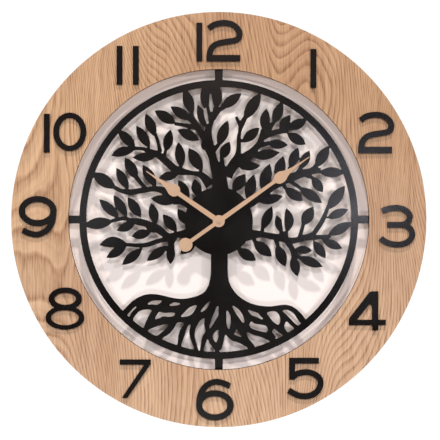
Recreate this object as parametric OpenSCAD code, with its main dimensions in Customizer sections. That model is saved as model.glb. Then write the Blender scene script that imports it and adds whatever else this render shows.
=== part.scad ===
// Wall clock with a tree-of-life centre: a wooden numeral ring round a cut steel panel,
// driven by a battery quartz movement.
// Millimetres. The dial faces -Y, the wall is the plane y = 0, and +Z is up.
// The origin is the seat of the hanging keyhole, where the wall screw's shank lies.

/* [Ring] */
// Outer diameter of the wooden ring
ring_od = 600; // [598:1:620]
// Inner diameter of the wooden ring
ring_id = 435; // [430:1:438]
// Thickness of the wooden ring
ring_thick = 12; // [9:0.5:15]
// Free space between the wall and the panel
wall_gap = 22; // [21:0.5:24]

/* [Panel] */
// Outer diameter of the panel's rim
rim_od = 404.8; // [402:0.2:408]
// Radial width of the panel's rim
rim_width = 10.1; // [9:0.1:11]
// Thickness of the sheet steel
sheet = 2; // [1.5:0.1:2.5]
// Width of the four tabs that carry the panel
tab_width = 11.5; // [10:0.5:14]
// Radius of the plain disc that covers the movement
disc_r = 49.5; // [48:0.5:52]
// How far the arbor sits below the middle of the ring
arbor_drop = 2.4; // [0:0.1:4]
// Radius of the rounding in the crotches of the twigs
crotch_r = 1; // [0.6:0.1:1.4]

/* [Numerals] */
// Thickness of a numeral
numeral_thick = 3; // [2:0.5:4]
// Stand-off of a numeral from the wood
numeral_gap = 2; // [1:0.5:3]
// Width of a numeral's strokes
stroke = 8.6; // [8:0.1:9.2]

/* [Hands] */
// Hour that the hands show at rest
hour_shown = 10; // [0:1:11]
// Minutes past the hour at rest
minute_shown = 9.1; // [0:0.1:59.9]
// Reach of the minute hand from the arbor
minute_reach = 161; // [150:1:165]
// Reach of the hour hand from the arbor
hour_reach = 128; // [118:1:132]
// Reach of the minute hand's tail to the middle of its disc
tail_reach = 59; // [50:1:60]
// Thickness of a hand
hand_thick = 1; // [0.8:0.1:1.1]

/* [Movement] */
// Width and height of the movement's case
case_size = 56; // [56:0.5:58]
// Depth of the movement's case
case_depth = 15.5; // [15.5:0.1:16]
// Radius of the threaded bush
bush_r = 4; // [3.9:0.1:4.2]
// Running clearance between turning parts
play = 0.06; // [0.04:0.01:0.08]

/* [Hanging] */
// Distance from the middle of the ring up to the hanging point
hang_r = 256; // [254:1:262]
// Width of the keyhole's slot
slot_w = 4.5; // [4:0.1:5]
// Radius of the keyhole's entry hole
entry_r = 4.5; // [4.4:0.1:5]

/* [Hidden] */
$fn = 48;

// Layers, measured from the wall at y = 0 towards the viewer at -y.
panel_back = -wall_gap;
panel_front = panel_back - sheet;
ring_front = panel_front - ring_thick;
washer_thick = 1;
case_front_y = panel_back + washer_thick;
case_rear_y = case_front_y + case_depth;
shell = 1.2;
floor_y = case_front_y + shell;
cover_y = case_rear_y - shell;

// The rim and its tabs.
rim_r = rim_od / 2;
rim_ri = rim_r - rim_width;
tab_end = 236;
tab_screw_r = 228;

// Screws: every one is driven forwards into the back of the ring.
screw_r = 1.6;
screw_head_r = 3.4;
screw_head = 1.8;
screw_grip = 8;

// Hanging bracket, bent from 1.5 mm strip.
strip = 1.5;
bracket_w = 32;
bracket_h = 34;
bracket_low = -22;
flange_w = 14;
plate_back = -2;
entry_drop = 10;
bracket_screws = [for (x = [-23, 23], z = [-14, 4]) [x, z]];

// Spacers that keep the ring parallel to the wall.
spacer_r = 9;
spacer_ring_r = 262;
spacer_angles = [45, 135, 225, 315];
felt = 2;

// Hands: levels along the arbor.
hour_back = panel_front - 6;
hour_front = hour_back - hand_thick;
minute_back = hour_front - 1.2;
minute_front = minute_back - hand_thick;
hub_r = 8.7;
hour_tube_r = 2.5;
minute_tube_r = 1.75;
minute_angle = minute_shown * 6;
hour_angle = hour_shown * 30 + minute_shown / 2;

// Pairs along a hand: distance from the arbor, half width there.
minute_blade = [
    [0, 3.5], [40, 3.1], [70, 2.7], [97, 2.5], [100, 4.2], [103, 6.9], [108, 8.3], [113, 7.9],
    [118, 5.6], [124, 3.6], [134, 2.1], [148, 1.1],
];
hour_blade = [
    [0, 3.8], [40, 3.5], [68, 3.3], [71, 5.2], [75, 8.4], [80, 8.9], [84, 7.8], [89, 5.3],
    [96, 3.4], [106, 2.1], [117, 1.1],
];
tail_r = 10;
tail_half_w = 2.8;

// Wheel train: centres in the plane of the dial, measured from the arbor.
cannon_teeth = 12;
minute_teeth = 36;
minute_pinion_teeth = 10;
hour_teeth = 40;
knob_teeth = 12;
centre_teeth = 64;
third_teeth = 60;
seconds_teeth = 60;
step_teeth = 32;
pinion_teeth = 8;
motion_cd = 7.5;
third_cd = 8.5;
step_cd = 8.5;
rotor_cd = 6;
minute_dir = 90;
knob_dir = 135;
third_dir = 180;
step_dir = 0;
rotor_dir = 60;
function along(d, a) = [d * cos(a), d * sin(a)];
minute_c = along(motion_cd, minute_dir);
knob_c = minute_c + along(motion_cd, knob_dir);
third_c = along(third_cd, third_dir);
step_c = along(step_cd, step_dir);
rotor_c = step_c + along(rotor_cd, rotor_dir);

// Size of a tooth, from the distance between centres and the two counts of teeth.
function tooth_module(d, z1, z2) = 2 * d / (z1 + z2);
cannon_m = tooth_module(motion_cd, cannon_teeth, minute_teeth);
hour_m = tooth_module(motion_cd, minute_pinion_teeth, hour_teeth);
knob_m = tooth_module(motion_cd, minute_teeth, knob_teeth);
centre_m = tooth_module(third_cd, pinion_teeth, centre_teeth);
third_m = tooth_module(third_cd, pinion_teeth, third_teeth);
seconds_m = tooth_module(step_cd, pinion_teeth, seconds_teeth);
step_m = tooth_module(rotor_cd, pinion_teeth, step_teeth);

// Angle that puts wheel B in mesh with wheel A, where B lies in direction dir from A.
function mesh_angle(dir, za, angle_a, zb) = dir + 180 - (0.5 - (dir - angle_a) * za / 360) * 360 / zb;
minute_phase = mesh_angle(minute_dir, cannon_teeth, 0, minute_teeth);
hour_phase = mesh_angle(minute_dir + 180, minute_pinion_teeth, minute_phase, hour_teeth);
knob_phase = mesh_angle(knob_dir, minute_teeth, minute_phase, knob_teeth);
third_pinion_phase = mesh_angle(third_dir, centre_teeth, 0, pinion_teeth);
seconds_pinion_phase = mesh_angle(third_dir + 180, third_teeth, 0, pinion_teeth);
step_pinion_phase = mesh_angle(step_dir, seconds_teeth, 0, pinion_teeth);
rotor_pinion_phase = mesh_angle(rotor_dir, step_teeth, 0, pinion_teeth);

// Levels of the wheels, from the inside of the case's front.
hour_wheel_y = [floor_y + 0.2, floor_y + 1.2];
minute_pinion_y = [floor_y + 0.1, floor_y + 1.8];
minute_wheel_y = [floor_y + 1.8, floor_y + 2.6];
cannon_y = [floor_y + 1.5, floor_y + 2.8];
plate_y = [floor_y + 3.3, floor_y + 4.1];
centre_wheel_y = [floor_y + 4.6, floor_y + 5.4];
third_pinion_y = [floor_y + 4.5, floor_y + 5.7];
third_wheel_y = [floor_y + 6.1, floor_y + 6.8];
seconds_pinion_y = [floor_y + 5.9, floor_y + 7.1];
seconds_wheel_y = [floor_y + 7.4, floor_y + 8.1];
step_pinion_y = [floor_y + 7.2, floor_y + 8.3];
step_wheel_y = [floor_y + 8.7, floor_y + 9.4];
rotor_pinion_y = [floor_y + 8.5, floor_y + 9.6];
magnet_y = [floor_y + 5.8, floor_y + 7.8];
stator_y = [floor_y + 6.3, floor_y + 7.3];
pivot_r = 0.5;
post_r = 1.3;
post_y = floor_y + 10;

// Battery bay: an AA cell lies across the bottom of the case.
cell_r = 7.1;
cell_len = 49.2;
nub_r = 2.7;
nub_len = 1.3;
cell_y = floor_y + cell_r + 0.05;
cell_z = -case_size / 2 + shell + cell_r + 0.3;
bay_top = cell_z + cell_r + 0.4;
contact_thick = 0.4;
coil_c = [13.5, 18];
coil_len = 13;
coil_r = 3;

// ---- Helpers -------------------------------------------------------------

// Moves a drawing from the middle of the ring, or from the arbor, to the part's origin.
module about_ring() {
    translate([0, 0, -hang_r]) children();
}

module about_arbor() {
    translate([0, 0, -hang_r - arbor_drop]) children();
}

// Extrudes a drawing of the dial's face from depth y0 to depth y1, with y0 nearer the viewer.
module layer(y0, y1) {
    translate([0, y1, 0]) rotate([90, 0, 0]) linear_extrude(y1 - y0) children();
}

// A round bar along the arbor's direction.
module rod(at, r, y0, y1) {
    translate([at[0], y1, at[1]]) rotate([90, 0, 0]) cylinder(h = y1 - y0, r = r);
}

// A point on a smooth curve through b and c, with neighbours a and d.
function blend(a, b, c, d, t) =
    (2 * b + (c - a) * t + (2 * a - 5 * b + 4 * c - d) * t * t + (3 * b - a - 3 * c + d) * t * t * t) / 2;

// Smooth curves through every point of a list, open or closed, with n steps between points.
function open_curve(p, n) = [
    for (i = [0 : len(p) - 2], k = [0 : n - 1])
        blend(p[max(i - 1, 0)], p[i], p[i + 1], p[min(i + 2, len(p) - 1)], k / n),
    p[len(p) - 1],
];
function closed_curve(p, n) = let (m = len(p)) [
    for (i = [0 : m - 1], k = [0 : n - 1])
        blend(p[(i + m - 1) % m], p[i], p[(i + 1) % m], p[(i + 2) % m], k / n),
];

// One edge of a strip along the curve c of [x, z, width], on the side s = 1 or -1.
function edge(c, s) = [
    for (i = [0 : len(c) - 1])
        let (a = c[max(i - 1, 0)], b = c[min(i + 1, len(c) - 1)], l = norm([b[0] - a[0], b[1] - a[1]]))
            [c[i][0] - s * (b[1] - a[1]) / l * c[i][2] / 2, c[i][1] + s * (b[0] - a[0]) / l * c[i][2] / 2],
];
function reversed(p) = [for (i = [len(p) - 1 : -1 : 0]) p[i]];

module strip_along(points, n) {
    c = open_curve(points, n);
    polygon(concat(edge(c, 1), reversed(edge(c, -1))));
}

// A pen stroke of even width through the points.
module pen(points) {
    strip_along([for (p = points) [p[0], p[1], stroke]], 4);
}

module oval(at, rx, rz) {
    polygon([for (a = [0 : 7.5 : 359]) [at[0] + rx * cos(a), at[1] + rz * sin(a)]]);
}

// A toothed wheel with z teeth of module m, turned by angle.
tooth_tip = 0.18;
tooth_root = 0.62;
addendum = 0.7;
dedendum = 1.15;
module teeth(z, m, angle) {
    polygon([
        for (i = [0 : z - 1], c = [
            [-dedendum, -tooth_root], [addendum, -tooth_tip], [addendum, tooth_tip], [-dedendum, tooth_root],
        ])
            along((z / 2 + c[0]) * m, angle + (i + c[1] / 2) * 360 / z),
    ]);
}

module wheel(at, z, m, angle, y) {
    translate([at[0], 0, at[1]]) layer(y[0], y[1]) teeth(z, m, angle);
}

// ---- Tree of life --------------------------------------------------------
// Everything in this section is measured from the middle of the ring.

// Leaves: base x, base z, tip x, tip z, width, sideways bow.
left_leaves = [
    [-44, -8, -59.5, 15.5, 14, 0], [-61, -18, -81, 7.5, 15, 0], [-91, -8, -98, 24, 14.5, 0],
    [-62, 25, -99, 31, 14.5, 0], [-43, 30, -58.5, 57.5, 14, 0], [-29, 32, -35.5, 59, 15, 0],
    [-58, 66, -87.5, 60, 13, 0], [-122, 101, -156, 92.5, 14, -2], [-91, 91, -125, 90, 13, 0],
    [-121, 104, -146, 130, 15, 0], [-100, 104, -119.5, 136, 15, 0], [-92, 120, -106, 153.5, 15, 0],
    [-62, 139, -93, 158, 16, 0], [-40, 144, -70, 164, 15, 0], [-38, 152, -50, 190, 16, 0],
    [-18, 132, -30.5, 166.5, 13, 0], [-17, 156, -21, 196, 16, 0], [-5, 158, -3, 198, 18, 0],
    [-28, 115, -60, 130.5, 15, 0], [-77, 98, -70, 130.5, 14.5, 0], [-54, 74, -58.5, 112.5, 15, 0],
    [-24, 70, -43.5, 103.5, 18, 0], [-153, -2.5, -196, -8.5, 17, 0], [-121, -5, -148, -16, 13.5, 0],
    [-98, -18, -126.5, -24.5, 14, 0], [-134, -34, -173.5, -37, 15.5, -3], [-134, -39, -163, -55.5, 13.5, 0],
    [-111, -42, -140.5, -66, 14, 0], [-74, -38, -104.5, -60, 14, 0], [-69.5, -36, -70, -65, 13, 0],
    [-33, -32, -56, -50, 14, 0], [-149, 45, -184, 68, 18, 0], [-131, 43, -148.5, 75, 14, 0],
    [-118, 58, -136, 90, 16, 0], [-91, 47, -110.5, 79.5, 15, 0], [-145, 2, -173.5, 29.5, 14, 0],
    [-133, 4, -152.5, 35.5, 14, 0], [-113, 3, -132, 32.5, 15, 0],
];
right_leaves = [
    [2, 161, 33, 183, 15, 0], [36, 144, 61, 184, 17, 0], [34, 112, 59, 133, 15, 0],
    [-1, 106, 13, 143.5, 16, 0], [3, 87, 15.5, 113, 15, 0], [65, 128, 69, 161, 15, 0],
    [79, 138, 92, 171, 15, 0], [88, 130, 104, 152, 13, 0], [99, 131, 128, 145, 15, 0],
    [99, 125, 126, 109, 15, 0], [70, 111, 100, 108, 14, 0], [103, 74, 115, 104.5, 14.5, 0],
    [118, 73, 131.5, 100, 14, 0], [140, 75, 160, 107, 16, 0], [145, 69, 183, 68, 15, 0],
    [135, 62, 151, 39.5, 14, 0], [116, 47, 150, 24, 15, 0], [95, 46, 122, 27, 15, 0],
    [157, 14, 183, 49, 17, 0], [157, 2, 188, 15, 13, 0], [158, -23, 194, -4, 15, 0],
    [121, -9, 137, 18.5, 17, 0], [98, -20, 98, 17, 14, -4], [150, -30, 179, -42, 13, 0],
    [137, -31, 155, -56, 14, 0], [110, -43, 135.5, -45, 12, 0], [114, -54, 151, -68.5, 14, 0],
    [107, -52, 114, -82.5, 14.5, 0], [48, 91, 88.5, 97.5, 15, 0], [28, 77, 60.5, 78, 13, 0],
    [20, 40, 38.5, 66, 17, 0], [41, 28, 51, 65.5, 16, 0], [62, 42, 74, 81, 17, 0],
    [84, 58, 93.5, 92, 16, 0], [58, 25, 93, 34, 14, 0], [63, -15, 77, 19, 15, 0],
    [91, -20, 84, 6.5, 12, 0], [26, -42, 54, -59.5, 16, 0], [50, -31, 77, -53.5, 17, 0],
    [84, -36, 96.5, -68.5, 16, 0],
];

// Boughs and stems: points of x, z, width.
boughs = [
    [[2, 46, 24], [1, 60, 20], [-5, 76, 15], [-9, 90, 12], [-13, 103, 15], [-17, 116, 16], [-15, 130, 10],
        [-11, 145, 9]],
    [[-11, 145, 9], [-15, 156, 6], [-17, 164, 6]],
    [[-9, 147, 9], [-5, 160, 8]],
    [[-9, 146, 8], [0, 158, 6], [8, 163, 6]],
    [[-18, 112, 12], [-26, 126, 9], [-34, 138, 10], [-39, 150, 6], [-40, 158, 5]],
    [[-32, 133, 8], [-40, 135, 7], [-50, 137, 5.5], [-64, 139, 5]],
    [[-34, 140, 5], [-46, 147, 5]],
    [[-12, 50, 16], [-25, 64, 10], [-40, 67.5, 6.5], [-55, 70, 11], [-65, 74, 11], [-76, 84, 11],
        [-88, 94, 10], [-100, 99, 7], [-112, 103, 5], [-125, 103, 6]],
    [[-92, 124, 5], [-88, 112, 5], [-85, 98, 6]],
    [[-42, 22, 14], [-60, 32, 14], [-75, 40, 12], [-92, 44.5, 8], [-110, 42.5, 8], [-125, 40, 8.5],
        [-140, 41, 6.5], [-152, 47, 6]],
    [[-120, 62, 7], [-114, 54, 6], [-105, 44, 6]],
    [[-44, 26, 8], [-56, 26, 8], [-66, 25, 7]],
    [[-40, -20, 16], [-60, -22, 9], [-74, -24, 9], [-88, -14, 12], [-97, -12, 13], [-105, -6, 10],
        [-118, -3, 10], [-130, 0, 5.5], [-140, 1.5, 6], [-155, -2, 5]],
    [[-62, -25, 10], [-78, -29, 7], [-90, -32, 7], [-103, -36.5, 7], [-116, -37.5, 6], [-140, -36, 5]],
    [[-66, -26, 12], [-69, -34, 9], [-69, -42, 9]],
    [[12, 62, 16], [20, 80, 12], [27, 92, 9], [29, 105, 6.5], [29, 118, 6], [30.5, 128, 5], [33, 138, 8],
        [39, 149, 6]],
    [[25, 149, 4], [31, 137, 6]],
    [[12, 66, 16], [25, 82, 14], [38, 91, 12], [50, 100, 10], [60, 112, 9], [65, 130, 8]],
    [[62, 118, 8], [75, 124, 8], [88, 128, 8], [101, 129, 7]],
    [[70, 125, 6], [80, 142, 6]],
    [[58, 107, 8], [74, 111, 6]],
    [[28, 16, 16], [48, 26, 14], [62, 36, 12], [78, 48, 12], [95, 57, 12], [108, 62, 12], [122, 67, 11],
        [136, 70, 9], [148, 71, 8]],
    [[126, 68, 8], [138, 74, 7], [143, 82, 6]],
    [[99, 58, 6], [103, 76, 5]],
    [[109, 62, 6], [119, 75, 5]],
    [[101, 57, 6], [118, 46, 5]],
    [[122, 66, 6], [137, 60, 5]],
    [[38, -22, 20], [60, -21.5, 9.5], [75, -24, 9], [90, -27, 10], [105, -31, 9], [125, -27, 8],
        [142, -26, 7], [162, -24, 5]],
    [[99, -32, 8], [107, -44, 8], [109, -56, 7]],
    [[118, -27, 7], [135, -22, 7], [143, -13, 7], [150, -2, 7], [155, 9, 6], [159, 20, 5]],
    [[-10, 98, 9], [0, 109, 5]],
    [[8, 66, 9], [5, 80, 7], [4, 91, 5]],
    [[-80, 87, 6], [-77, 101, 4]],
    [[29, 114, 5], [37, 115, 5]],
    [[92, 55, 8], [97, 45, 5]],
    [[62, -23, 6], [64, -11, 5]],
    [[117, -27, 6], [123, -6, 5]],
    [[97, -28, 7], [98, -16, 5]],
    [[89, -27, 6], [91, -16, 5]],
    [[49, -22, 8], [53, -34, 5]],
    [[82, -26, 7], [86, -40, 5]],
    [[107, -46, 6], [118, -56, 5]],
];

// Solid places where several boughs run together: x, z, radius.
knots = [[33, 88, 8], [43, 90, 6], [36, 78, 6], [-18, 108, 8], [-12, 192, 6], [95, 133, 4]];

// Slits between leaves and boughs that lie close together.
crown_gaps = [
    [[-12.3, 188], [-9.2, 172], [-6.7, 164.3], [-9.9, 154.6], [-14.6, 165.5], [-14, 174]],
    [[-18.8, 165], [-16, 151], [-14.5, 139.5], [-17.3, 138.5], [-20, 146], [-22.2, 156]],
    [[93.8, -17.5], [97, -16.5], [95.2, -8], [94.2, 3], [91, 3], [92, -8]],
];

// Ground between the roots, from the left of the rim, up the trunk and down to the right.
ground_left = [
    [-160, -152], [-138, -131], [-125, -118], [-110, -110], [-95, -108], [-80, -110.5], [-65, -114],
    [-50, -115], [-35, -112], [-27, -109], [-20, -104], [-15, -95], [-12.5, -85], [-11.5, -76], [-11.5, -40],
];
ground_right = [
    [13, -40], [13, -76], [14, -85], [16, -93], [21, -102], [30, -112], [45, -121], [60, -125],
    [75, -126], [90, -124], [100, -124], [110, -128], [120, -137], [127, -146], [145, -164],
];

// Openings between the roots.
root_gaps = [
    [[-133, -139], [-129, -134], [-122, -127], [-117, -124], [-119, -127], [-126, -134], [-130, -141]],
    [[-124, -147], [-120, -138], [-114, -132.5], [-104, -130.5], [-97.5, -132], [-101, -138], [-106, -149],
        [-111, -157.5]],
    [[-104, -123.5], [-99, -119], [-92, -117.5], [-82.5, -118], [-89, -123.5], [-97, -123]],
    [[-72, -125], [-67, -121], [-62, -120.5], [-56, -122], [-57, -123.5], [-64, -125]],
    [[-93, -144.5], [-89, -137], [-86, -134], [-79, -135.5], [-70, -135], [-63.5, -136], [-66, -140],
        [-73, -141], [-81, -140.5], [-87, -143.5]],
    [[-55, -141], [-50, -135], [-43, -128], [-36, -125], [-32, -124.5], [-34, -130], [-39, -137],
        [-46, -140.5]],
    [[-27, -134.5], [-22, -127], [-16, -121], [-11.5, -117], [-13, -122], [-17, -128], [-22, -132.5]],
    [[-1.5, -125], [0, -131], [-1, -139], [-4, -145], [-9, -153], [-12.5, -158], [-14, -156], [-11, -147],
        [-7, -136]],
    [[-4, -178.5], [-8, -173], [-8.5, -168], [-5, -163], [-1, -160], [0, -165], [-1, -172]],
    [[-21.5, -192], [-19, -180], [-16, -173.5], [-13.5, -179], [-9, -186], [-6, -192]],
    [[-29, -190.5], [-32, -181], [-35, -170], [-34, -160], [-30, -151], [-25, -145], [-20.5, -143.5],
        [-21.5, -152], [-19.5, -162], [-24, -170], [-26, -180], [-27.5, -190]],
    [[-54, -185.5], [-50, -170], [-46, -157], [-42, -152], [-41, -154], [-43, -163], [-41, -174],
        [-36.5, -189]],
    [[-82, -174], [-72, -166], [-65, -158], [-60, -149.5], [-50.5, -150.5], [-56, -160], [-59, -170],
        [-62, -183]],
    [[-103.5, -162], [-95, -157], [-85, -153.5], [-73, -152], [-77, -158], [-85, -165.5], [-92, -168.5]],
    [[11, -132.5], [14, -134], [17, -141], [17.5, -150], [15.5, -158], [13.5, -158], [11, -150], [11, -140]],
    [[19.5, -125], [25, -127.5], [31, -133], [35.5, -141], [37, -148], [34.5, -149.5], [29, -142],
        [23, -133]],
    [[42, -131], [50, -133.5], [57, -136], [60, -140], [64.5, -144], [61, -144.5], [54, -141], [48, -139],
        [44, -134.5]],
    [[70, -135.5], [78, -133], [84, -134.5], [88, -140], [89, -148], [86, -153], [79, -148], [74, -142]],
    [[92.5, -132.5], [98, -131], [104, -133], [110, -138], [115, -146], [119, -151], [115.5, -154],
        [109, -149.5], [103, -143], [97, -137]],
    [[98, -148], [103, -152], [109, -158.5], [101, -164], [96, -158], [95, -154]],
    [[80.5, -159], [77.5, -163.5], [83, -170], [80, -175.5], [93.5, -169.5], [87, -164]],
    [[47, -148], [52, -151], [60, -152.5], [68, -154], [71, -159], [69, -163.5], [60, -162], [50, -159],
        [45, -155], [44.5, -152]],
    [[25.5, -160], [28, -162], [31, -167], [33, -171], [29, -169.5], [23, -167], [23, -164.5]],
    [[41, -163], [50, -167.5], [62, -170.5], [69, -174], [74.5, -178], [60, -183], [46, -187.5], [52, -184],
        [46, -176], [42, -170]],
    [[9.5, -167], [14, -171.5], [20, -176], [28, -178.5], [35, -182], [42.5, -188], [30, -191], [15, -192.7],
        [1, -192.5], [4, -187], [7, -177]],
];

// A leaf: two arcs that meet in a point at the tip and at the base.
module leaf(l) {
    run = [l[2] - l[0], l[3] - l[1]];
    side = [-run[1], run[0]] / norm(run);
    function mid(t) = [l[0], l[1]] + run * t + side * l[5] * 4 * t * (1 - t);
    function half(t) = l[4] / 2 * pow(sin(180 * t), 0.85);
    polygon(concat(
        [for (i = [0 : 8]) mid(i / 8) + side * half(i / 8)],
        [for (i = [7 : -1 : 1]) mid(i / 8) - side * half(i / 8)]
    ));
}

module crown() {
    difference() {
        union() {
            for (l = left_leaves) leaf(l);
            for (l = right_leaves) leaf(l);
            for (b = boughs) strip_along(b, 3);
            for (k = knots) translate([k[0], k[1]]) circle(k[2], $fn = 24);
        }
        for (g = crown_gaps) polygon(g);
    }
}

module ground() {
    difference() {
        polygon(concat(open_curve(ground_left, 3), open_curve(ground_right, 3), [[0, -260]]));
        for (g = root_gaps) polygon(closed_curve(g, 3));
    }
}

module rim_and_tabs() {
    difference() {
        union() {
            circle(rim_r, $fn = 144);
            for (a = [0 : 90 : 270]) rotate(a) translate([-tab_width / 2, 0]) square([tab_width, tab_end]);
        }
        circle(rim_ri, $fn = 144);
    }
}

// The panel as cut from sheet: crotches are rounded by the cutter.
module panel_outline() {
    $fn = 8;
    offset(r = -crotch_r) offset(delta = crotch_r) union() {
        intersection() {
            circle(rim_ri + 3, $fn = 72);
            union() {
                crown();
                ground();
            }
        }
        rim_and_tabs();
        translate([0, -arbor_drop]) circle(disc_r, $fn = 72);
    }
}

module tree_panel() {
    color([0.05, 0.05, 0.05]) about_ring() layer(panel_front, panel_back) difference() {
        panel_outline();
        translate([0, -arbor_drop]) circle(bush_r + 0.2);
        for (at = tab_spots) translate(at) circle(screw_r + 0.3);
    }
}

// ---- Ring and numerals ---------------------------------------------------

spacer_spots = [for (a = spacer_angles) along(spacer_ring_r, a)];
tab_spots = [for (a = [0 : 90 : 270]) along(tab_screw_r, a)];
bracket_spots = [for (s = bracket_screws) [s[0], s[1] + hang_r]];

module wood_ring() {
    color([0.78, 0.6, 0.4]) about_ring() difference() {
        rod([0, 0], ring_od / 2, ring_front, panel_front, $fn = 96);
        rod([0, 0], ring_id / 2, ring_front - 1, panel_front + 1, $fn = 96);
        for (at = concat(spacer_spots, tab_spots, bracket_spots))
            rod(at, screw_r, panel_front - screw_grip - 1, panel_front + 1);
    }
}

// Rounds the outer corners of a flat shape.
module softened() {
    offset(r = 0.8, $fn = 12) offset(delta = -0.8) children();
}

module bar() {
    square([stroke, 56]);
}

module digit_0() {
    difference() {
        oval([24, 28], 24, 27.8);
        oval([24, 28], 15.4, 20);
    }
}

module digit_2() {
    pen([[3.5, 47.5], [12, 53.3], [26, 55.7], [39, 52.5], [47, 44], [47.5, 36], [43, 31], [33, 29],
        [21, 27], [12, 23.5], [6.5, 17], [4.5, 9], [4.3, 2]]);
    square([49, 9.5]);
}

module digit_3() {
    pen([[2.5, 52.8], [12, 56], [24, 57.2], [35, 54.5], [42, 47.5], [41.5, 39.5], [36, 34], [28, 32.8],
        [10, 32.8]]);
    pen([[28, 32.8], [37, 31.5], [44, 26], [46.2, 18], [42, 10], [34, 5.5], [24, 4.3], [13, 6], [5, 9.8],
        [0.5, 13.5]]);
}

module digit_4() {
    difference() {
        polygon([[0, 7.5], [0, 16.5], [30, 55], [33, 56.5], [42.8, 56.5], [42.8, 15.3], [53.5, 15.3],
            [53.5, 7.5], [42.8, 7.5], [42.8, 0], [33.8, 0], [33.8, 7.5]]);
        polygon([[11.5, 15.3], [33.5, 15.3], [33.5, 33], [31.5, 38], [29, 37]]);
    }
}

module digit_5() {
    translate([3, 51.5]) square([43, 8.5]);
    translate([3, 28.5]) square([8.5, 31.5]);
    pen([[7, 31], [15, 37], [28.5, 39.3], [40, 36], [47, 29.5], [48.2, 21], [43.5, 11.5], [35, 6],
        [25, 4.5], [14, 6.5], [2.2, 13]]);
}

module digit_6() {
    difference() {
        oval([27.3, 21.8], 27.3, 21.8);
        oval([27.3, 21.8], 18.3, 13);
    }
    pen([[4.4, 22], [5.2, 32], [9, 43], [17, 51.5], [28, 55.7], [39, 54], [49, 49.5]]);
}

module digit_7() {
    translate([0, 48]) square([45, 7.5]);
    polygon([[45, 52.5], [44, 48], [11, 0], [3, 0], [35.5, 48], [36, 52.5]]);
}

module digit_8() {
    difference() {
        union() {
            oval([28, 17.25], 28, 17.25);
            oval([28.5, 44.5], 24, 16.5);
        }
        oval([28, 17.25], 20, 10.75);
        oval([28.5, 44.5], 15.5, 8.5);
    }
}

// Lifts a numeral off the ring and gives it its thickness.
module raised() {
    color([0.06, 0.06, 0.06]) about_ring()
        layer(ring_front - numeral_gap - numeral_thick, ring_front - numeral_gap) softened() children();
}

module numeral_1() {
    raised() translate([132.3, 190]) bar();
}

module numeral_2() {
    raised() translate([201, 95.5]) digit_2();
}

module numeral_3() {
    raised() translate([233, -40.5]) digit_3();
}

module numeral_4() {
    raised() translate([187.5, -160]) digit_4();
}

module numeral_5() {
    raised() translate([98.5, -259.5]) digit_5();
}

module numeral_6() {
    raised() translate([-33, -290]) digit_6();
}

module numeral_7() {
    raised() translate([-143, -257.5]) digit_7();
}

module numeral_8() {
    raised() translate([-250, -159]) digit_8();
}

module numeral_9() {
    raised() translate([-234, 34]) rotate(180) digit_6();
}

module numeral_10() {
    raised() {
        translate([-252.5, 96.5]) bar();
        translate([-239, 98.5]) digit_0();
    }
}

module numeral_11() {
    raised() {
        translate([-147.5, 194.5]) bar();
        translate([-124, 194.5]) bar();
    }
}

module numeral_12() {
    raised() {
        translate([-32.3, 228]) bar();
        translate([-18, 228]) digit_2();
    }
}

// Foam pads between the ring and the back of each numeral.
pad_r = 2.8;
pad_spots = [
    [136.6, 200], [136.6, 236], [227, 151], [228, 123.5], [223, 100.2], [257, 16.7], [261, -7.7],
    [257, -36.2], [225.8, -115], [225.8, -155], [207.5, -148.5], [128.5, -203.7], [123.5, -255],
    [146.6, -238.5], [17, -268.2], [-28.5, -268.2], [-5, -234.3], [-123, -205.7], [-126.2, -243],
    [-198, -141.7], [-246, -141.7], [-221.5, -102], [-284, 12.2], [-238.5, 12.2], [-262, -21.7],
    [-248.2, 106], [-248.2, 142], [-215, 150.4], [-215, 102.5], [-143.2, 204], [-143.2, 240],
    [-119.7, 204], [-119.7, 240], [-28, 238], [-28, 274], [8, 283.7], [9, 256], [4, 232.7],
];
module numeral_pads() {
    color([0.9, 0.9, 0.88]) about_ring()
        for (at = pad_spots) rod(at, pad_r, ring_front - numeral_gap, ring_front);
}

// ---- Screws, hanging bracket and wall spacers ----------------------------

// A round-headed screw driven forwards, its head resting on depth y.
module screw(at, y) {
    rod(at, screw_r, panel_front - screw_grip, y);
    rod(at, screw_head_r, y, y + screw_head);
}

module tab_screws() {
    color([0.7, 0.7, 0.72]) about_ring() for (at = tab_spots) screw(at, panel_back);
}

module hanger_screws() {
    color([0.7, 0.7, 0.72]) about_ring() for (at = bracket_spots) screw(at, panel_front + strip);
}

module hanger_bracket() {
    color([0.75, 0.75, 0.77]) difference() {
        union() {
            translate([-bracket_w / 2, plate_back - strip, bracket_low]) cube([bracket_w, strip, bracket_h]);
            for (s = [0, 1]) mirror([s, 0, 0]) {
                translate([bracket_w / 2 - strip, panel_front, bracket_low])
                    cube([strip, plate_back - panel_front, bracket_h]);
                translate([bracket_w / 2 - strip, panel_front, bracket_low])
                    cube([flange_w + strip, strip, bracket_h]);
            }
        }
        rod([0, 0], slot_w / 2, plate_back - strip - 1, plate_back + 1);
        rod([0, -entry_drop], entry_r, plate_back - strip - 1, plate_back + 1);
        translate([-slot_w / 2, plate_back - strip - 1, -entry_drop]) cube([slot_w, strip + 2, entry_drop]);
        for (s = bracket_screws) rod(s, screw_r + 0.3, panel_front - 1, panel_front + strip + 1);
    }
}

spacer_seat = panel_front + 9;
module wall_spacers() {
    color([0.1, 0.1, 0.1]) about_ring() for (at = spacer_spots) difference() {
        rod(at, spacer_r, panel_front, -felt);
        rod(at, screw_r + 0.2, panel_front - 1, 0);
        rod(at, screw_head_r + 0.6, spacer_seat, 0);
    }
}

module spacer_screws() {
    color([0.7, 0.7, 0.72]) about_ring() for (at = spacer_spots) screw(at, spacer_seat);
}

module felt_pads() {
    color([0.2, 0.2, 0.2]) about_ring() for (at = spacer_spots) rod(at, spacer_r, -felt, 0);
}

// ---- Hands ---------------------------------------------------------------

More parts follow.
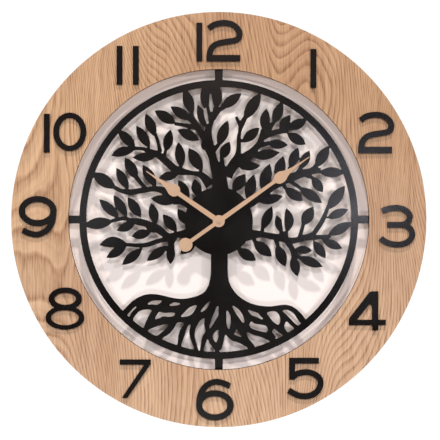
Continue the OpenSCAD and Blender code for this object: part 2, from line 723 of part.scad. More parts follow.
// A blade pointing up: pairs of distance and half width, then the point.
module blade(pairs, reach) {
    c = open_curve(pairs, 3);
    polygon(concat([for (p = c) [p[1], p[0]]], [[0.5, reach], [-0.5, reach]],
        reversed([for (p = c) [-p[1], p[0]]])));
}

module hour_hand() {
    color([0.8, 0.65, 0.45]) about_arbor() difference() {
        union() {
            rotate([0, hour_angle, 0]) layer(hour_front, hour_back) {
                blade(hour_blade, hour_reach);
                circle(hub_r);
            }
            rod([0, 0], hour_tube_r + 1.2, hour_back - 0.5, hour_back + 1);
        }
        rod([0, 0], hour_tube_r, hour_front - 1, hour_back + 2);
    }
}

minute_spigot_r = 1.3;
module minute_hand() {
    color([0.8, 0.65, 0.45]) about_arbor() difference() {
        rotate([0, minute_angle, 0]) layer(minute_front, minute_back) {
            blade(minute_blade, minute_reach);
            circle(hub_r);
            translate([-tail_half_w, -tail_reach]) square([2 * tail_half_w, tail_reach]);
            translate([0, -tail_reach]) circle(tail_r);
        }
        rod([0, 0], minute_spigot_r, minute_front - 1, minute_back + 1);
    }
}

module hand_nut() {
    color([0.8, 0.65, 0.4]) about_arbor() difference() {
        union() {
            rod([0, 0], 3, minute_front - 1.6, minute_front);
            rod([0, 0], 2.4, minute_front - 2.4, minute_front - 1.6);
        }
        rod([0, 0], minute_spigot_r, minute_front - 1.8, minute_front + 1);
    }
}

// ---- Fixing of the movement ----------------------------------------------

bush_front = panel_front - 4.5;
module threaded_bush() {
    color([0.8, 0.68, 0.35]) about_arbor() difference() {
        rod([0, 0], bush_r, bush_front, floor_y);
        rod([0, 0], hour_tube_r + play, bush_front - 1, floor_y + 1);
    }
}

dial_washer_thick = 0.8;
dial_nut_thick = 2.5;
dial_nut_af = 11;
module dial_washer() {
    color([0.8, 0.68, 0.35]) about_arbor() difference() {
        rod([0, 0], 7, panel_front - dial_washer_thick, panel_front);
        rod([0, 0], bush_r + 0.2, panel_front - 2, panel_front + 1);
    }
}

module dial_nut() {
    y = panel_front - dial_washer_thick;
    color([0.8, 0.68, 0.35]) about_arbor() difference() {
        layer(y - dial_nut_thick, y) circle(dial_nut_af / 2 / cos(30), $fn = 6);
        rod([0, 0], bush_r, y - dial_nut_thick - 1, y + 1);
    }
}

module rubber_washer() {
    color([0.1, 0.1, 0.1]) about_arbor() difference() {
        rod([0, 0], 14, panel_back, case_front_y);
        rod([0, 0], bush_r + 0.2, panel_back - 1, case_front_y + 1);
    }
}

// ---- Movement case -------------------------------------------------------

half_case = case_size / 2;
inner = half_case - shell;
pivot_hole_r = pivot_r + play;
knob_shaft_r = 1;
plate_pillars = [[-15, -8.5], [13, -8.5], [-15, 12], [13, 12]];
stator_pillars = [[4.5, 20], [22.5, 20], [22.5, 4]];
board_pillars = [[-23, 23], [-11, 23], [-23, 12]];
board_y = [floor_y + 7.8, floor_y + 8.6];

// A block between depths y0 and y1 and between two opposite corners [x, z].
module block(a, b, y0, y1) {
    translate([a[0], y0, a[1]]) cube([b[0] - a[0], y1 - y0, b[1] - a[1]]);
}

module case_front() {
    color([0.12, 0.12, 0.12]) about_arbor() difference() {
        union() {
            difference() {
                block([-half_case, -half_case], [half_case, half_case], case_front_y, case_rear_y);
                block([-inner, bay_top + shell], [inner, inner], floor_y, case_rear_y + 1);
                block([-inner, -inner], [inner, bay_top], floor_y, case_rear_y + 1);
                block([-half_case - 1, bay_top], [half_case + 1, half_case + 1], cover_y, case_rear_y + 1);
            }
            for (at = plate_pillars) rod(at, 1.2, floor_y - 0.5, plate_y[0]);
            for (at = stator_pillars) rod(at, 1.2, floor_y - 0.5, stator_y[0]);
            for (at = board_pillars) rod(at, 1.2, floor_y - 0.5, board_y[0]);
        }
        rod([0, 0], bush_r, case_front_y - 1, floor_y + 1);
        rod(minute_c, pivot_hole_r, floor_y - 0.8, floor_y + 1);
        rod(knob_c, pivot_hole_r, floor_y - 0.8, floor_y + 1);
    }
}

module case_back() {
    posts = [third_c, [0, 0], step_c, rotor_c];
    color([0.12, 0.12, 0.12]) about_arbor() difference() {
        union() {
            block([-half_case, bay_top], [half_case, half_case], cover_y, case_rear_y);
            for (at = posts) rod(at, post_r, post_y, cover_y + 0.5);
        }
        for (at = posts) rod(at, pivot_hole_r, post_y - 1, cover_y - 0.6);
        rod(knob_c, knob_shaft_r + play, cover_y - 1, case_rear_y + 1);
    }
}

cannon_rear_r = 1.2;
module gear_plate() {
    color([0.85, 0.85, 0.82]) about_arbor() difference() {
        block([-17, -10.4], [15, 15.5], plate_y[0], plate_y[1]);
        rod([0, 0], cannon_rear_r + play, plate_y[0] - 1, plate_y[1] + 1);
        for (at = [third_c, step_c, rotor_c, minute_c])
            rod(at, pivot_hole_r, plate_y[0] - 1, plate_y[1] + 1);
        rod(knob_c, knob_shaft_r + play, plate_y[0] - 1, plate_y[1] + 1);
    }
}

// ---- Wheels --------------------------------------------------------------

pivot_front = plate_y[0] + 0.2;
pivot_rear = cover_y - 0.9;

module hour_wheel() {
    color([0.9, 0.85, 0.7]) about_arbor() difference() {
        union() {
            wheel([0, 0], hour_teeth, hour_m, hour_phase, hour_wheel_y);
            rod([0, 0], hour_tube_r, hour_front - 0.2, hour_wheel_y[1]);
        }
        rod([0, 0], minute_tube_r + play, hour_front - 1, floor_y + 3);
    }
}

module minute_tube() {
    color([0.85, 0.72, 0.4]) about_arbor() difference() {
        union() {
            rod([0, 0], minute_spigot_r, minute_front - 1.8, minute_back);
            rod([0, 0], minute_tube_r, minute_back, hour_wheel_y[1]);
            rod([0, 0], cannon_rear_r, hour_wheel_y[1], centre_wheel_y[1]);
            wheel([0, 0], cannon_teeth, cannon_m, 0, cannon_y);
        }
        rod([0, 0], pivot_hole_r, plate_y[0] - 0.2, centre_wheel_y[1] + 1);
    }
}

module centre_wheel() {
    color([0.95, 0.95, 0.93]) about_arbor() difference() {
        wheel([0, 0], centre_teeth, centre_m, 0, centre_wheel_y);
        rod([0, 0], cannon_rear_r + play, centre_wheel_y[0] - 1, centre_wheel_y[1] + 1);
    }
}

module minute_wheel() {
    color([0.95, 0.95, 0.93]) about_arbor() {
        wheel(minute_c, minute_teeth, cannon_m, minute_phase, minute_wheel_y);
        wheel(minute_c, minute_pinion_teeth, hour_m, minute_phase, minute_pinion_y);
        rod(minute_c, pivot_r, floor_y - 0.7, plate_y[1] - 0.1);
    }
}

knob_r = 4.5;
module set_knob() {
    color([0.1, 0.1, 0.1]) about_arbor() {
        wheel(knob_c, knob_teeth, knob_m, knob_phase, cannon_y);
        rod(knob_c, pivot_r, floor_y - 0.7, cannon_y[0]);
        rod(knob_c, knob_shaft_r, cannon_y[0], case_rear_y + 0.2);
        rod(knob_c, knob_r, case_rear_y + 0.2, case_rear_y + 2.7);
    }
}

// A wheel and its pinion on one arbor.
module staged(at, z, m, wheel_y, pinion_m, pinion_phase, pinion_y) {
    wheel(at, z, m, 0, wheel_y);
    wheel(at, pinion_teeth, pinion_m, pinion_phase, pinion_y);
    rod(at, pivot_r, pivot_front, pivot_rear);
}

module third_wheel() {
    color([0.95, 0.95, 0.93]) about_arbor()
        staged(third_c, third_teeth, third_m, third_wheel_y, centre_m, third_pinion_phase, third_pinion_y);
}

module seconds_wheel() {
    color([0.95, 0.95, 0.93]) about_arbor()
        staged([0, 0], seconds_teeth, seconds_m, seconds_wheel_y, third_m, seconds_pinion_phase,
            seconds_pinion_y);
}

module step_wheel() {
    color([0.95, 0.95, 0.93]) about_arbor()
        staged(step_c, step_teeth, step_m, step_wheel_y, seconds_m, step_pinion_phase, step_pinion_y);
}

magnet_r = 2.25;
module rotor() {
    color([0.3, 0.3, 0.32]) about_arbor() {
        rod(rotor_c, magnet_r, magnet_y[0], magnet_y[1]);
        wheel(rotor_c, pinion_teeth, step_m, rotor_pinion_phase, rotor_pinion_y);
        rod(rotor_c, pivot_r, pivot_front, pivot_rear);
    }
}

// ---- Motor, board and battery --------------------------------------------

core_half = 1;
module stator() {
    color([0.6, 0.6, 0.62]) about_arbor() difference() {
        union() {
            block([3, 1.7], [24, 9], stator_y[0], stator_y[1]);
            block([3, 9], [6, 21.5], stator_y[0], stator_y[1]);
            block([21, 9], [24, 21.5], stator_y[0], stator_y[1]);
            block([6, coil_c[1] - core_half], [21, coil_c[1] + core_half], stator_y[0], stator_y[1]);
        }
        rod(rotor_c, magnet_r + 0.4, stator_y[0] - 1, stator_y[1] + 1);
    }
}

module coil() {
    y = (stator_y[0] + stator_y[1]) / 2;
    gap = 0.05;
    color([0.72, 0.35, 0.15]) about_arbor() difference() {
        translate([coil_c[0], y, coil_c[1]]) rotate([0, 90, 0]) {
            cylinder(h = coil_len, r = coil_r, center = true);
            for (s = [-1, 1]) translate([0, 0, s * (coil_len / 2 - 0.4)])
                cylinder(h = 0.8, r = coil_r + 0.6, center = true);
        }
        block([0, coil_c[1] - core_half - gap], [half_case, coil_c[1] + core_half + gap], stator_y[0] - gap,
            stator_y[1] + gap);
    }
}

module circuit_board() {
    color([0.1, 0.35, 0.18]) about_arbor() block([-25, 10], [-9, 25], board_y[0], board_y[1]);
}

crystal_r = 1;
module quartz_crystal() {
    color([0.8, 0.8, 0.82]) about_arbor()
        translate([-20, board_y[1] + crystal_r, 14]) cylinder(h = 6, r = crystal_r);
}

cell_end = 24;
module battery() {
    color([0.2, 0.2, 0.25]) about_arbor() translate([cell_end, cell_y, cell_z]) rotate([0, 90, 0]) {
        translate([0, 0, -cell_len]) cylinder(h = cell_len, r = cell_r);
        cylinder(h = nub_len, r = nub_r);
    }
}

// A contact strip against the case's end wall, with a boss that meets the cell.
module contact(s, boss_from, boss_r) {
    color([0.8, 0.8, 0.82]) about_arbor() {
        block([s > 0 ? inner - contact_thick : -inner, cell_z - 5],
            [s > 0 ? inner : contact_thick - inner, cell_z + 6], cell_y - 5, cell_y + 5);
        translate([s > 0 ? boss_from : contact_thick - inner, cell_y, cell_z]) rotate([0, 90, 0])
            cylinder(h = s > 0 ? inner - contact_thick - boss_from : boss_from - contact_thick + inner,
                r = boss_r);
    }
}

module contact_plus() {
    contact(1, cell_end + nub_len, 2);
}

module contact_minus() {
    contact(-1, cell_end - cell_len, 3);
}

wood_ring();
tree_panel();
numeral_1();
numeral_2();
numeral_3();
numeral_4();
numeral_5();
numeral_6();
numeral_7();
numeral_8();
numeral_9();
numeral_10();
numeral_11();
numeral_12();
numeral_pads();
tab_screws();
hanger_bracket();
hanger_screws();
wall_spacers();
spacer_screws();
felt_pads();
hour_hand();
minute_hand();
hand_nut();
dial_nut();
dial_washer();
rubber_washer();
case_front();
case_back();
threaded_bush();
gear_plate();
hour_wheel();
minute_tube();
centre_wheel();
minute_wheel();
set_knob();
third_wheel();
seconds_wheel();
step_wheel();
rotor();
stator();
coil();
circuit_board();
quartz_crystal();
contact_plus();
contact_minus();
battery();
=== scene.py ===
"""Looks, lights and camera of a round wall clock with a tree-of-life centre. Its shapes are the CAD's."""
import math

import bpy
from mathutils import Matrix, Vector


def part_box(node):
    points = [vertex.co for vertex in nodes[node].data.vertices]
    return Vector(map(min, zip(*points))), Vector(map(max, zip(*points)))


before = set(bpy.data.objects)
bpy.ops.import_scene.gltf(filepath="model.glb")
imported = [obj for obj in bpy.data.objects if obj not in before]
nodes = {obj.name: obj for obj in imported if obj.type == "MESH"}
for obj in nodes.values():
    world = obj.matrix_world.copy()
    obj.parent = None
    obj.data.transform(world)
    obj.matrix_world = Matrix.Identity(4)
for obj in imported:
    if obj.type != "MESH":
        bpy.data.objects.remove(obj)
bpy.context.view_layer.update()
scene = bpy.context.scene

# The middle of the wooden ring's face. The dial looks along -Y, and +Z is up.
ring_lo, ring_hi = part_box("wood_ring")
DIAL = Vector(((ring_lo.x + ring_hi.x) / 2, ring_lo.y, (ring_lo.z + ring_hi.z) / 2))

NUMERALS = [f"numeral_{i}" for i in range(1, 13)]


# ---- Node helpers -----------------------------------------------------------


class Material:
    """A Principled material with shorthands for its nodes."""

    def __init__(self, name):
        self.material = bpy.data.materials.new(name)
        self.material.use_nodes = True
        self.tree = self.material.node_tree
        self.shader = self.tree.nodes["Principled BSDF"]
        self.place = self.node("TexCoord").outputs["Object"]

    def node(self, kind):
        return self.tree.nodes.new("ShaderNode" + kind)

    def link(self, output, socket):
        self.tree.links.new(output, socket)

    def feed(self, socket, value):
        """Gives a socket a number, a colour or another node's output."""
        if isinstance(value, (int, float)):
            socket.default_value = value
        elif isinstance(value, tuple):
            socket.default_value = (*value, 1)
        else:
            self.link(value, socket)

    def set(self, **values):
        for name, value in values.items():
            self.shader.inputs[name.replace("_", " ")].default_value = value
        return self

    def mapped(self, scale, shift=(0, 0, 0)):
        node = self.node("Mapping")
        node.inputs["Scale"].default_value = scale
        node.inputs["Location"].default_value = shift
        self.link(self.place, node.inputs["Vector"])
        return node.outputs["Vector"]

    def noise(self, place, scale, detail, rough, distortion=0.0):
        node = self.node("TexNoise")
        node.inputs["Scale"].default_value = scale
        node.inputs["Detail"].default_value = detail
        node.inputs["Roughness"].default_value = rough
        node.inputs["Distortion"].default_value = distortion
        self.link(place, node.inputs["Vector"])
        return node.outputs["Fac"]

    def math(self, operation, a, b=0.0):
        node = self.node("Math")
        node.operation = operation
        self.feed(node.inputs[0], a)
        self.feed(node.inputs[1], b)
        return node.outputs[0]

    def plus(self, a, b):
        return self.math("ADD", a, b)

    def minus(self, a, b):
        return self.math("SUBTRACT", a, b)

    def times(self, a, b):
        return self.math("MULTIPLY", a, b)

    def ramp(self, value, *stops):
        """Turns a value into a grey or a colour. Each stop is a value and its grey or colour."""
        node = self.node("ValToRGB")
        elements = node.color_ramp.elements
        while len(elements) < len(stops):
            elements.new(0.5)
        for element, (position, tone) in zip(elements, stops):
            element.position = position
            element.color = (*tone, 1) if isinstance(tone, tuple) else (tone, tone, tone, 1)
        self.link(value, node.inputs["Fac"])
        return node.outputs["Color"]

    def mix(self, share, a, b, blend="MIX"):
        node = self.node("Mix")
        node.data_type = "RGBA"
        node.blend_type = blend
        for i, value in ((0, share), (6, a), (7, b)):
            self.feed(node.inputs[i], value)
        return node.outputs[2]

    def split(self, vector):
        node = self.node("SeparateXYZ")
        self.link(vector, node.inputs[0])
        return node.outputs

    def bump(self, height, strength, depth):
        node = self.node("Bump")
        node.inputs["Strength"].default_value = strength
        node.inputs["Distance"].default_value = depth
        self.link(height, node.inputs["Height"])
        self.link(node.outputs["Normal"], self.shader.inputs["Normal"])

    def colour(self, output):
        self.link(output, self.shader.inputs["Base Color"])

    def rough(self, output):
        self.link(output, self.shader.inputs["Roughness"])


def srgb(*screen):
    """Linear colour from screen values of 0 to 255."""
    shares = [c / 255 for c in screen]
    return tuple(c / 12.92 if c <= 0.04045 else ((c + 0.055) / 1.055) ** 2.4 for c in shares)


def scaled(colour, factor):
    return tuple(min(1, c * factor) for c in colour)


# ---- Materials --------------------------------------------------------------

OAK_PALE = srgb(234, 196, 160)
OAK_DEEP = srgb(214, 172, 136)
OAK_EARLY_WOOD = srgb(160, 112, 76)
OAK_FINE_LINE = srgb(176, 128, 90)
OAK_STREAK = srgb(168, 122, 88)
OAK_PORE = srgb(122, 82, 54)
OAK_BURNT = (0.035, 0.018, 0.011)

# Growth rings across 1 m of the board, how many the slow field shifts them by, and fine lines to a ring.
RINGS_PER_METRE = 165
RING_BEND = 74
FINE_LINES_PER_RING = 2.3


def oak():
    """Straight and cathedral grain that runs up the ring, with open pores and edges browned by the cutter."""
    mat = Material("oak")
    x, _, z = mat.split(mat.place)

    # Growth rings are contour lines of a field that is drawn out along the grain.
    slow = mat.noise(mat.mapped((1, 1, 0.3), shift=(1.37, 0, 0.71)), 4.6, 1.5, 0.45)
    wobble = mat.noise(mat.mapped((1, 1, 0.4)), 34, 2, 0.5)
    field = mat.plus(mat.plus(mat.times(slow, RING_BEND), mat.times(x, RINGS_PER_METRE)), wobble)
    ring = mat.math("FRACT", field)
    early_wood = mat.ramp(ring, (0.0, 1.0), (0.16, 0.55), (0.42, 0.12), (0.84, 0.0), (1.0, 1.0))
    line = mat.math("FRACT", mat.times(field, FINE_LINES_PER_RING))
    fine_line = mat.ramp(line, (0.0, 0.8), (0.35, 0.1), (0.8, 0.0), (1.0, 0.8))

    # Pores are short dark dashes along the grain, and darkest in the early wood.
    pores = mat.ramp(mat.noise(mat.mapped((1, 1, 0.035)), 900, 2, 0.6), (0.46, 0.0), (0.62, 1.0))
    pores = mat.times(pores, mat.plus(mat.times(early_wood, 0.55), 0.2))
    streaks = mat.ramp(mat.noise(mat.mapped((1, 1, 0.014)), 300, 3, 0.6), (0.44, 0.0), (0.66, 1.0))
    cloud = mat.ramp(mat.noise(mat.mapped((1, 1, 0.3)), 11, 3, 0.55), (0.3, 0.0), (0.7, 1.0))

    base = mat.mix(cloud, OAK_PALE, OAK_DEEP)
    base = mat.mix(mat.times(early_wood, 0.6), base, OAK_EARLY_WOOD)
    base = mat.mix(mat.times(fine_line, 0.26), base, OAK_FINE_LINE)
    base = mat.mix(mat.times(streaks, 0.32), base, OAK_STREAK)
    base = mat.mix(mat.times(pores, 0.9), base, OAK_PORE)

    # Painted shade: the boards are painted palest at the bottom and at the upper left, and darkest at the
    # upper right, for how the light falls on the ring.
    height = mat.math("DIVIDE", mat.minus(z, ring_lo.z), ring_hi.z - ring_lo.z)
    bottom = (0.0, (0.92, 0.92, 0.90))
    top = (1.0, (0.75, 0.67, 0.56))
    painted_shade_right = mat.ramp(height, bottom, (0.5, (0.72, 0.665, 0.61)), (0.8, (0.69, 0.61, 0.49)), top)
    painted_shade_left = mat.ramp(
        height,
        bottom, (0.4, (0.83, 0.80, 0.73)), (0.61, (0.85, 0.81, 0.715)), (0.8, (0.81, 0.755, 0.65)), top
    )
    leftward = mat.minus(mat.times(mat.minus(z, DIAL.z), 0.4), x)
    painted_shade = mat.mix(mat.ramp(leftward, (0.14, 0.0), (0.25, 1.0)), painted_shade_right, painted_shade_left)
    base = mat.mix(1.0, base, painted_shade, "MULTIPLY")

    # Faces that look sideways were cut: they are brown and duller, and show no pores.
    normal = mat.node("TexCoord").outputs["Normal"]
    cut = mat.ramp(mat.math("ABSOLUTE", mat.split(normal)[1]), (0.25, 1.0), (0.6, 0.0))
    mat.colour(mat.mix(cut, base, OAK_BURNT))
    open_grain = mat.times(pores, mat.minus(1.0, cut))
    mat.rough(mat.plus(mat.times(open_grain, 0.25), mat.plus(mat.times(cut, 0.3), 0.5)))
    mat.bump(mat.minus(1.0, open_grain), 0.35, 0.0003)
    return mat.set(Specular_IOR_Level=0.35).material


def coated(name, colour, rough, grain, depth, specular):
    """Powder coat, lacquer or a printed sleeve: a fine orange-peel surface with slight changes of tone."""
    mat = Material(name)
    peel = mat.noise(mat.place, grain, 3, 0.6)
    cloud = mat.noise(mat.place, 16, 4, 0.6)
    mat.colour(mat.mix(mat.ramp(cloud, (0.3, 0.0), (0.7, 1.0)), scaled(colour, 0.75), scaled(colour, 1.25)))
    mat.rough(mat.plus(mat.times(cloud, 0.14), rough - 0.07))
    mat.bump(peel, 0.35, depth)
    return mat.set(Specular_IOR_Level=specular).material


def metal(name, colour, rough, streaks=(1, 1, 1)):
    """Bare or plated metal with faint stains. Its brushed lines run across the axis with the high factor."""
    mat = Material(name)
    brushed = mat.noise(mat.mapped(streaks), 300, 3, 0.6)
    stain = mat.noise(mat.place, 60, 3, 0.5)
    mat.colour(mat.mix(mat.ramp(stain, (0.35, 0.0), (0.7, 1.0)), colour, scaled(colour, 0.78)))
    mat.rough(mat.plus(mat.times(brushed, 0.2), rough - 0.1))
    mat.bump(brushed, 0.25, 0.00003)
    return mat.set(Metallic=1.0).material


def plastic(name, colour, rough, grain=900, depth=0.00002):
    """Moulded plastic, rubber or foam with a fine skin."""
    mat = Material(name)
    skin = mat.noise(mat.place, grain, 2, 0.5)
    cloud = mat.noise(mat.place, 40, 3, 0.5)
    mat.colour(mat.mix(cloud, scaled(colour, 0.88), scaled(colour, 1.1)))
    mat.rough(mat.plus(mat.times(skin, 0.12), rough - 0.06))
    mat.bump(skin, 0.4, depth)
    return mat.material


def felt():
    """Matted fibres with a soft sheen."""
    mat = Material("felt")
    fibre = mat.noise(mat.place, 1600, 4, 0.7, distortion=0.6)
    mat.colour(mat.mix(fibre, (0.006, 0.006, 0.007), (0.05, 0.05, 0.055)))
    mat.bump(fibre, 1.0, 0.0003)
    return mat.set(Roughness=0.95, Sheen_Weight=0.4).material


def copper_wire():
    """Enamelled wire, turn beside turn along X."""
    mat = Material("copper_wire")
    turns = mat.node("TexWave")
    turns.bands_direction = "X"
    turns.inputs["Scale"].default_value = 1500
    mat.link(mat.place, turns.inputs["Vector"])
    # Painted shade: the wire is painted dark in the grooves between the turns, where the bump is low, and
    # bright on their crowns.
    mat.colour(mat.mix(turns.outputs["Fac"], (0.20, 0.05, 0.02), (0.55, 0.2, 0.08)))
    mat.bump(turns.outputs["Fac"], 0.8, 0.0001)
    return mat.set(Metallic=0.8, Roughness=0.35).material


def board():
    """Green solder mask over a glass weave and winding tracks."""
    mat = Material("board")
    weave = mat.node("TexChecker")
    weave.inputs["Scale"].default_value = 2500
    mat.link(mat.place, weave.inputs["Vector"])
    route = mat.noise(mat.mapped((1, 1, 3)), 220, 0, 0.5)
    tracks = mat.ramp(route, (0.49, 0.0), (0.5, 1.0), (0.56, 1.0), (0.57, 0.0))
    base = mat.mix(weave.outputs["Fac"], (0.012, 0.09, 0.03), (0.015, 0.11, 0.04))
    mat.colour(mat.mix(mat.times(tracks, 0.5), base, (0.04, 0.25, 0.08)))
    return mat.set(Roughness=0.35).material


def tan_paint():
    """Satin paint the colour of the wood, on the hands."""
    mat = Material("tan_paint")
    grain = mat.noise(mat.mapped((1, 1, 0.4)), 260, 3, 0.6)
    cloud = mat.noise(mat.place, 24, 3, 0.5)
    base = mat.mix(mat.ramp(cloud, (0.3, 0.0), (0.7, 1.0)), srgb(190, 152, 119), srgb(182, 144, 111))
    mat.colour(mat.mix(mat.times(grain, 0.25), base, srgb(167, 127, 93)))
    mat.rough(mat.plus(mat.times(grain, 0.15), 0.42))
    mat.bump(grain, 0.2, 0.00005)
    return mat.material


# Each finish, and the nodes that have it: the dial, the fixings behind it, and the movement.
FINISHES = [
    (oak(), ["wood_ring"]),
    (coated("black_powder_coat", (0.0042, 0.0029, 0.0023), 0.17, 1400, 0.00001, 0.155), ["tree_panel"]),
    (coated("black_numeral", (0.0040, 0.0022, 0.0016), 0.19, 1800, 0.000008, 0.11), NUMERALS),
    (tan_paint(), ["hour_hand", "minute_hand", "hand_nut"]),

    (plastic("white_foam", (0.8, 0.8, 0.78), 0.9, 700, 0.0001), ["numeral_pads"]),
    (felt(), ["felt_pads"]),
    (metal("zinc_plate", (0.62, 0.63, 0.65), 0.32, (1, 1, 6)),
     ["tab_screws", "hanger_screws", "spacer_screws", "hanger_bracket"]),
    (plastic("black_case", (0.014, 0.014, 0.015), 0.5),
     ["wall_spacers", "case_front", "case_back", "set_knob"]),

    (metal("turned_brass", (0.72, 0.52, 0.24), 0.3, (1, 12, 1)),
     ["dial_nut", "dial_washer", "threaded_bush", "minute_tube"]),
    (plastic("black_rubber", (0.01, 0.01, 0.01), 0.75, 400, 0.00006), ["rubber_washer"]),
    (plastic("white_wheels", (0.72, 0.72, 0.68), 0.38),
     ["gear_plate", "hour_wheel", "centre_wheel", "minute_wheel", "third_wheel", "seconds_wheel",
      "step_wheel"]),
    (metal("rotor_magnet", (0.16, 0.16, 0.17), 0.45), ["rotor"]),
    (metal("core_iron", (0.5, 0.5, 0.52), 0.35, (1, 1, 8)), ["stator"]),
    (copper_wire(), ["coil"]),
    (board(), ["circuit_board"]),
    (metal("nickel_can", (0.66, 0.66, 0.68), 0.22), ["quartz_crystal"]),
    (metal("nickel_strip", (0.68, 0.68, 0.66), 0.28, (8, 1, 1)), ["contact_plus", "contact_minus"]),
    (coated("cell_sleeve", (0.02, 0.022, 0.03), 0.25, 500, 0.00001, 0.5), ["battery"]),
]
finish_of = {name: material for material, names in FINISHES for name in names}
for name, node in nodes.items():
    node.data.materials.clear()
    node.data.materials.append(finish_of[name])


# ---- Edges ------------------------------------------------------------------

WELD_DISTANCE = 0.000002


def soft_edges(name, width, segments, angle):
    """Rounds a node's edges where its faces turn by more than angle, in degrees."""
    weld = nodes[name].modifiers.new("weld", "WELD")
    weld.merge_threshold = WELD_DISTANCE
    edge = nodes[name].modifiers.new("edge", "BEVEL")
    edge.width = width
    edge.segments = segments
    edge.limit_method = "ANGLE"
    edge.angle_limit = math.radians(angle)


soft_edges("wood_ring", 0.0007, 3, 35)
soft_edges("tree_panel", 0.0003, 2, 50)
for name in NUMERALS:
    soft_edges(name, 0.0004, 2, 50)
for name in ("hour_hand", "minute_hand"):
    soft_edges(name, 0.0002, 2, 50)
for name in ("hand_nut", "dial_nut", "case_front", "case_back", "set_knob", "wall_spacers", "hanger_bracket"):
    soft_edges(name, 0.0003, 2, 40)


# ---- Stage: a patch of wall behind the opening, white all round -------------

# The patch is 8 mm wider all round than the ring's opening, so the ring hides its edge.
# It lies just behind the plane that the felt pads rest on.
WALL_RADIUS = 0.2255
WALL_Y = 0.0006
WALL_CORNERS = 128

SURROUND_RADIUS = 12
SURROUND_GLOW = 1.05
FILL_COLOUR = (1.0, 0.80, 0.70, 1)
FILL_STRENGTH = 0.11


def wall_patch():
    """A round face that looks at the camera."""
    corners = []
    for i in range(WALL_CORNERS):
        turn = 2 * math.pi * i / WALL_CORNERS
        x = DIAL.x + WALL_RADIUS * math.cos(turn)
        z = DIAL.z + WALL_RADIUS * math.sin(turn)
        corners.append((x, WALL_Y, z))
    mesh = bpy.data.meshes.new("wall_patch")
    mesh.from_pydata(corners, [], [range(WALL_CORNERS)])
    patch = bpy.data.objects.new("wall_patch", mesh)
    scene.collection.objects.link(patch)
    return patch


def wall_paint():
    """Pale matt wall, clear from behind so that the clock's back can be seen."""
    mat = Material("wall_paint")
    cloud = mat.noise(mat.place, 3, 2, 0.5)
    base = mat.mix(cloud, srgb(249, 237, 231), srgb(244, 232, 226))

    # Painted shade: the wall is painted a little greyer at the bottom and warmer from the middle up, for how
    # the light falls on it.
    above_middle = mat.minus(mat.split(mat.place)[2], DIAL.z)
    height = mat.plus(mat.math("DIVIDE", above_middle, 2 * WALL_RADIUS), 0.5)
    shade = mat.ramp(height, (0.25, (0.955, 0.955, 0.955)), (0.5, (1.0, 0.98, 0.96)))
    mat.colour(mat.mix(1.0, base, shade, "MULTIPLY"))
    mat.set(Roughness=0.9, Specular_IOR_Level=0.1)

    sides = mat.node("MixShader")
    mat.link(mat.node("NewGeometry").outputs["Backfacing"], sides.inputs[0])
    mat.link(mat.shader.outputs[0], sides.inputs[1])
    mat.link(mat.node("BsdfTransparent").outputs[0], sides.inputs[2])
    mat.link(sides.outputs[0], mat.tree.nodes["Material Output"].inputs["Surface"])
    return mat.material


def white_surround():
    """A white ball round the stage that only the camera sees: it lights nothing and isn't reflected."""
    bpy.ops.mesh.primitive_uv_sphere_add(
        segments=48, ring_count=24, radius=SURROUND_RADIUS, location=DIAL
    )
    ball = bpy.context.object
    ball.name = "white_surround"
    glow = bpy.data.materials.new("white_glow")
    glow.use_nodes = True
    tree = glow.node_tree
    tree.nodes.clear()
    emission = tree.nodes.new("ShaderNodeEmission")
    emission.inputs["Strength"].default_value = SURROUND_GLOW
    output = tree.nodes.new("ShaderNodeOutputMaterial")
    tree.links.new(emission.outputs[0], output.inputs[0])
    ball.data.materials.append(glow)
    for ray in ("diffuse", "glossy", "transmission", "shadow", "volume_scatter"):
        setattr(ball, "visible_" + ray, False)
    return ball


wall = wall_patch()
wall.data.materials.append(wall_paint())
surround = white_surround()

scene.world = bpy.data.worlds.new("studio")
scene.world.use_nodes = True
fill = scene.world.node_tree.nodes["Background"]
fill.inputs["Color"].default_value = FILL_COLOUR
fill.inputs["Strength"].default_value = FILL_STRENGTH


# ---- Lights and camera ------------------------------------------------------

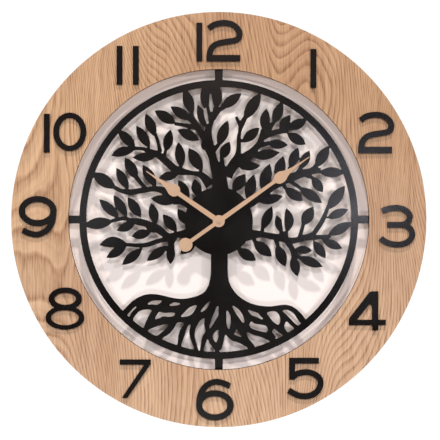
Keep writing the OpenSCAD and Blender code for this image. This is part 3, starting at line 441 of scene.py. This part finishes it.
# Name, direction from the dial, distance and diameter in metres, power in watts, colour.
# The key throws the long shadows down the wall, and the sides and near lights throw the close ones.
# The sheens show as gloss on the black coat, and the rear lights show the clock's back.
LIGHTS = [
    ("key_above", (0.09, -1.0, 1.48), 11.0, 0.8, 650, (1.0, 0.955, 0.93)),
    ("side_right", (0.55, -1.0, 0.2), 7.0, 0.45, 90, (0.90, 0.95, 1.0)),
    ("side_left", (-0.55, -1.0, 0.2), 7.0, 0.45, 86, (0.90, 0.95, 1.0)),
    ("near_top", (0.0, -1.0, 0.33), 6.0, 0.25, 100, (0.95, 0.97, 1.0)),
    ("near_right", (0.28, -1.0, 0.05), 6.0, 0.25, 15, (0.97, 0.97, 1.0)),
    ("near_left", (-0.28, -1.0, 0.05), 6.0, 0.25, 15, (0.97, 0.97, 1.0)),
    ("near_bottom", (0.0, -1.0, -0.28), 6.0, 0.4, 70, (0.95, 0.97, 1.0)),
    ("sheen_right", (0.14, -1.0, 0.02), 3.3, 0.2, 3.7, (0.87, 0.88, 1.0)),
    ("sheen_left", (-0.13, -1.0, 0.015), 3.3, 0.2, 0.9, (0.92, 0.92, 1.0)),
    ("sheen_top", (0.0, -1.0, 0.15), 3.3, 0.3, 0.9, (1.0, 0.80, 0.74)),
    ("rear_right", (0.6, 1.0, 0.75), 7.0, 1.5, 170, (1.0, 0.975, 0.95)),
    ("rear_left", (-0.8, 1.0, 0.35), 7.0, 1.5, 90, (0.95, 0.97, 1.0)),
]


def disc_light(name, toward, distance, diameter, power, colour):
    """A round soft light that shines on the middle of the dial from the direction toward."""
    light = bpy.data.lights.new(name, "AREA")
    light.shape = "DISK"
    light.size = diameter
    light.energy = power
    light.color = colour
    lamp = bpy.data.objects.new(name, light)
    scene.collection.objects.link(lamp)
    direction = Vector(toward).normalized()
    lamp.location = DIAL + direction * distance
    lamp.rotation_mode = "QUATERNION"
    lamp.rotation_quaternion = direction.to_track_quat("Z", "Y")


for light in LIGHTS:
    disc_light(*light)

# The picture's width at the dial, and where the camera stands from the middle of the dial, in metres.
PICTURE_WIDTH = 0.6358
CAMERA_DISTANCE = 3.0
CAMERA_RIGHT = 0.0017
CAMERA_DOWN = 0.0007
SENSOR_MM = 36

lens = bpy.data.cameras.new("camera")
lens.sensor_width = SENSOR_MM
lens.lens = SENSOR_MM * CAMERA_DISTANCE / PICTURE_WIDTH
lens.clip_start = 0.05
lens.clip_end = 100
camera = bpy.data.objects.new("camera", lens)
scene.collection.objects.link(camera)
camera.location = (DIAL.x + CAMERA_RIGHT, DIAL.y - CAMERA_DISTANCE, DIAL.z - CAMERA_DOWN)
camera.rotation_euler = (math.radians(90), 0, 0)
scene.camera = camera
scene.view_settings.view_transform = "Standard"
scene.view_settings.look = "None"
